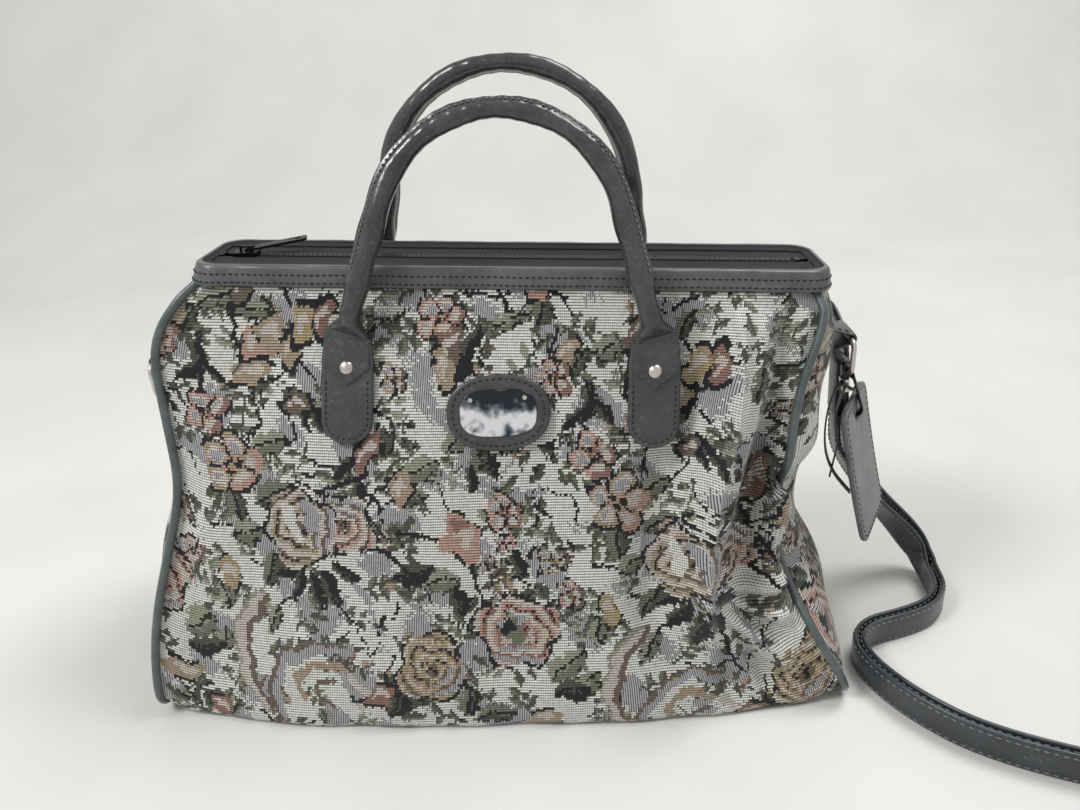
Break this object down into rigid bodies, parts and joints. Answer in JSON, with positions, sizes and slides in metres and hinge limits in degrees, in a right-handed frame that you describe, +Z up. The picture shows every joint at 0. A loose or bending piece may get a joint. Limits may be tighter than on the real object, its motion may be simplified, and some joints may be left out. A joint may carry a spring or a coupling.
{
  "type": "carpet bag",
  "caption": "Soft tapestry carpet bag with slate vinyl trim, tubular folding handles, a top zip, a luggage tag and a doubled shoulder strap on end rings.",
  "frame": {"origin": "middle of the base, on the surface that the bag stands on", "axes": "+X along the bag towards the end with the tag, +Y from the front to the back, +Z up"},
  "size_m": [0.6068, 0.2699, 0.3782],
  "materials": {
    "tapestry": "woven floral tapestry",
    "piping": "satin vinyl cord",
    "vinyl": "satin grained vinyl",
    "zip_cloth": "woven tape",
    "zip_teeth": "moulded",
    "black_metal": "black enamel",
    "nickel": "nickel plate",
    "board": "plain sheet"
  },
  "bodies": {
    "bag": {"tapestry_body": "tapestry", "left_end_panel": "tapestry", "right_end_panel": "tapestry", "left_piping": "piping", "right_piping": "piping", "front_top_band": "vinyl", "back_top_band": "vinyl", "front_zip_tape": "zip_cloth", "back_zip_tape": "zip_cloth", "front_zip_teeth": "zip_teeth", "back_zip_teeth": "zip_teeth", "zip_stops": "black_metal", "front_left_tab": "vinyl", "front_right_tab": "vinyl", "back_left_tab": "vinyl", "back_right_tab": "vinyl", "tab_rivets": "nickel", "badge_patch": "vinyl", "badge_plate": "nickel", "badge_pins": "nickel", "left_ring_loop": "vinyl", "right_ring_loop": "vinyl", "strap_floor": "vinyl", "strap_rise": "vinyl", "strap_outer": "vinyl", "strap_back": "vinyl", "base_board": "board"},
    "slider": {"zip_slider": "black_metal"},
    "pull": {"zip_pull": "black_metal"},
    "front_grip": {"front_handle": "vinyl"},
    "back_grip": {"back_handle": "vinyl"},
    "left_link": {"left_ring": "nickel", "strap_left_eye": "vinyl"},
    "right_link": {"right_ring": "nickel", "strap_right_eye": "vinyl"},
    "tag": {"luggage_tag": "vinyl", "tag_strap": "vinyl", "tag_buckle": "nickel"}
  },
  "joints": [
    {"name": "zip_slide", "type": "slide", "parent": "bag", "child": "slider", "axis": [0.9983, 0, -0.0574], "range_m": [0, 0.31], "deforming": ["front_zip_teeth", "back_zip_teeth"]},
    {"name": "zip_pull_swing", "type": "hinge", "parent": "slider", "child": "pull", "pos_m": [-0.13833, 0, 0.27631], "axis": [0.2076, -0.9781, -0.0119], "range_deg": [0, 150]},
    {"name": "front_handle_swing", "type": "hinge", "parent": "bag", "child": "front_grip", "pos_m": [0.01611, -0.04808, 0.22929], "axis": [0.9983, 0.0036, -0.0575], "range_deg": [0, 108]},
    {"name": "back_handle_swing", "type": "hinge", "parent": "bag", "child": "back_grip", "pos_m": [0.01608, 0.04702, 0.23226], "axis": [-0.9983, -0.0013, 0.0575], "range_deg": [0, 98]},
    {"name": "left_ring_swing", "type": "hinge", "parent": "bag", "child": "left_link", "pos_m": [-0.20649, 0, 0.21015], "axis": [0, 1, 0], "range_deg": [0, 70], "deforming": ["strap_back"]},
    {"name": "right_ring_swing", "type": "hinge", "parent": "bag", "child": "right_link", "pos_m": [0.22401, 0, 0.20695], "axis": [0, -1, 0], "range_deg": [0, 70], "deforming": ["strap_rise", "strap_outer", "strap_back"]},
    {"name": "tag_swing", "type": "hinge", "parent": "right_link", "child": "tag", "pos_m": [0.22401, 0, 0.18695], "axis": [0, -1, 0], "range_deg": [0, 80]}
  ]
}
